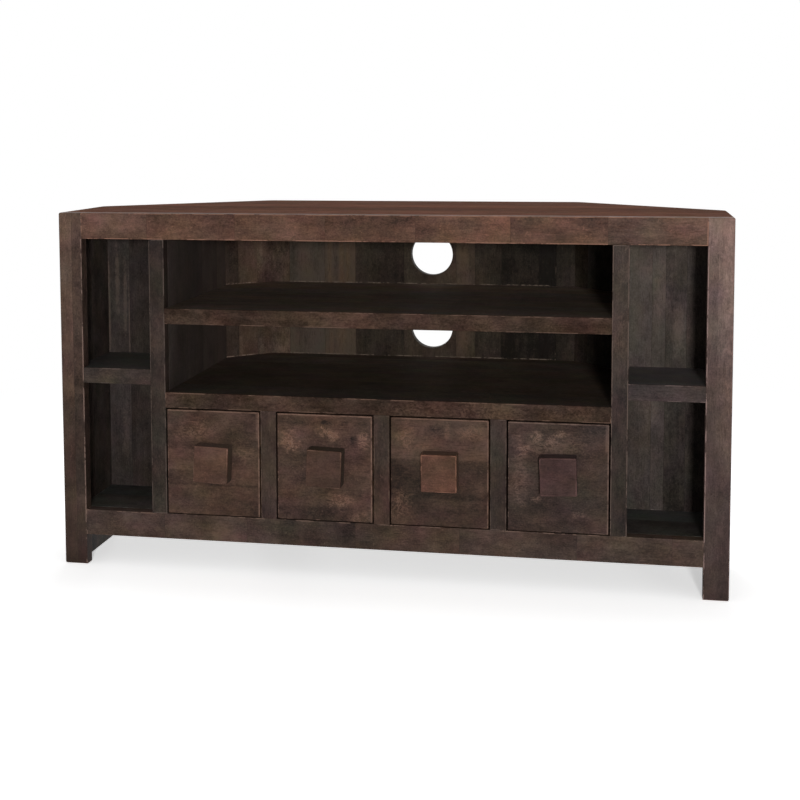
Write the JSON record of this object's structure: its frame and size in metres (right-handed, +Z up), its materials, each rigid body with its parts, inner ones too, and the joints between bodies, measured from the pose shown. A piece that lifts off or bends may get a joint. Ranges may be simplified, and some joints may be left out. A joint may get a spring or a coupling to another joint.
{
  "type": "corner tv cabinet",
  "caption": "Low corner cabinet for a television: open bays and side cubbies over a row of inset drawers with square block knobs, back corners cut at an angle.",
  "frame": {"origin": "on the floor, in the middle of the box that the cabinet and its knobs fill", "axes": "+X along the front to the viewer's right, -Y out of the front face, +Z up"},
  "size_m": [1.1, 0.48, 0.6],
  "materials": {
    "top_wood": "dark stained mango wood, reddish brown satin lacquer",
    "rail_wood": "dark stained mango wood with the grain along the rail",
    "frame_wood": "dark stained mango wood with the grain upright, edges worn pale",
    "front_wood": "dark stained mango wood with patchy burl and knots",
    "knob_wood": "dark stained solid wood block, satin",
    "inside_wood": "dark stained boards, duller than the outside",
    "drawer_box_wood": "thinly stained mango wood, unlacquered",
    "screw_steel": "plain zinc-plated steel"
  },
  "bodies": {
    "carcass": {"top_panel": "top_wood", "front_top_rail": "rail_wood", "front_bottom_rail": "rail_wood", "front_stile_left": "frame_wood", "front_stile_right": "frame_wood", "mullion_left": "frame_wood", "mullion_right": "frame_wood", "drawer_post_1": "frame_wood", "drawer_post_2": "frame_wood", "drawer_post_3": "frame_wood", "side_return_left": "frame_wood", "side_return_right": "frame_wood", "diagonal_panel_left": "frame_wood", "diagonal_panel_right": "frame_wood", "rear_post_left": "frame_wood", "rear_post_right": "frame_wood", "back_panel": "inside_wood", "base_panel": "inside_wood", "partition_left": "inside_wood", "partition_right": "inside_wood", "column_back_left": "inside_wood", "column_back_right": "inside_wood", "column_shelf_left": "frame_wood", "column_shelf_right": "frame_wood", "deck_board": "rail_wood", "centre_shelf": "rail_wood", "drawer_guide_1": "inside_wood", "drawer_guide_2": "inside_wood", "drawer_guide_3": "inside_wood", "drawer_stop_rail": "inside_wood"},
    "drawer_1": {"drawer_1_front": "front_wood", "drawer_1_side_left": "drawer_box_wood", "drawer_1_side_right": "drawer_box_wood", "drawer_1_back": "drawer_box_wood", "drawer_1_bottom": "drawer_box_wood", "drawer_1_knob": "knob_wood", "drawer_1_knob_screw": "screw_steel"},
    "drawer_2": {"drawer_2_front": "front_wood", "drawer_2_side_left": "drawer_box_wood", "drawer_2_side_right": "drawer_box_wood", "drawer_2_back": "drawer_box_wood", "drawer_2_bottom": "drawer_box_wood", "drawer_2_knob": "knob_wood", "drawer_2_knob_screw": "screw_steel"},
    "drawer_3": {"drawer_3_front": "front_wood", "drawer_3_side_left": "drawer_box_wood", "drawer_3_side_right": "drawer_box_wood", "drawer_3_back": "drawer_box_wood", "drawer_3_bottom": "drawer_box_wood", "drawer_3_knob": "knob_wood", "drawer_3_knob_screw": "screw_steel"},
    "drawer_4": {"drawer_4_front": "front_wood", "drawer_4_side_left": "drawer_box_wood", "drawer_4_side_right": "drawer_box_wood", "drawer_4_back": "drawer_box_wood", "drawer_4_bottom": "drawer_box_wood", "drawer_4_knob": "knob_wood", "drawer_4_knob_screw": "screw_steel"}
  },
  "joints": [
    {"name": "drawer_1_slide", "type": "slide", "parent": "carcass", "child": "drawer_1", "axis": [0, -1, 0], "range_m": [0, 0.24]},
    {"name": "drawer_2_slide", "type": "slide", "parent": "carcass", "child": "drawer_2", "axis": [0, -1, 0], "range_m": [0, 0.24]},
    {"name": "drawer_3_slide", "type": "slide", "parent": "carcass", "child": "drawer_3", "axis": [0, -1, 0], "range_m": [0, 0.24]},
    {"name": "drawer_4_slide", "type": "slide", "parent": "carcass", "child": "drawer_4", "axis": [0, -1, 0], "range_m": [0, 0.24]}
  ]
}
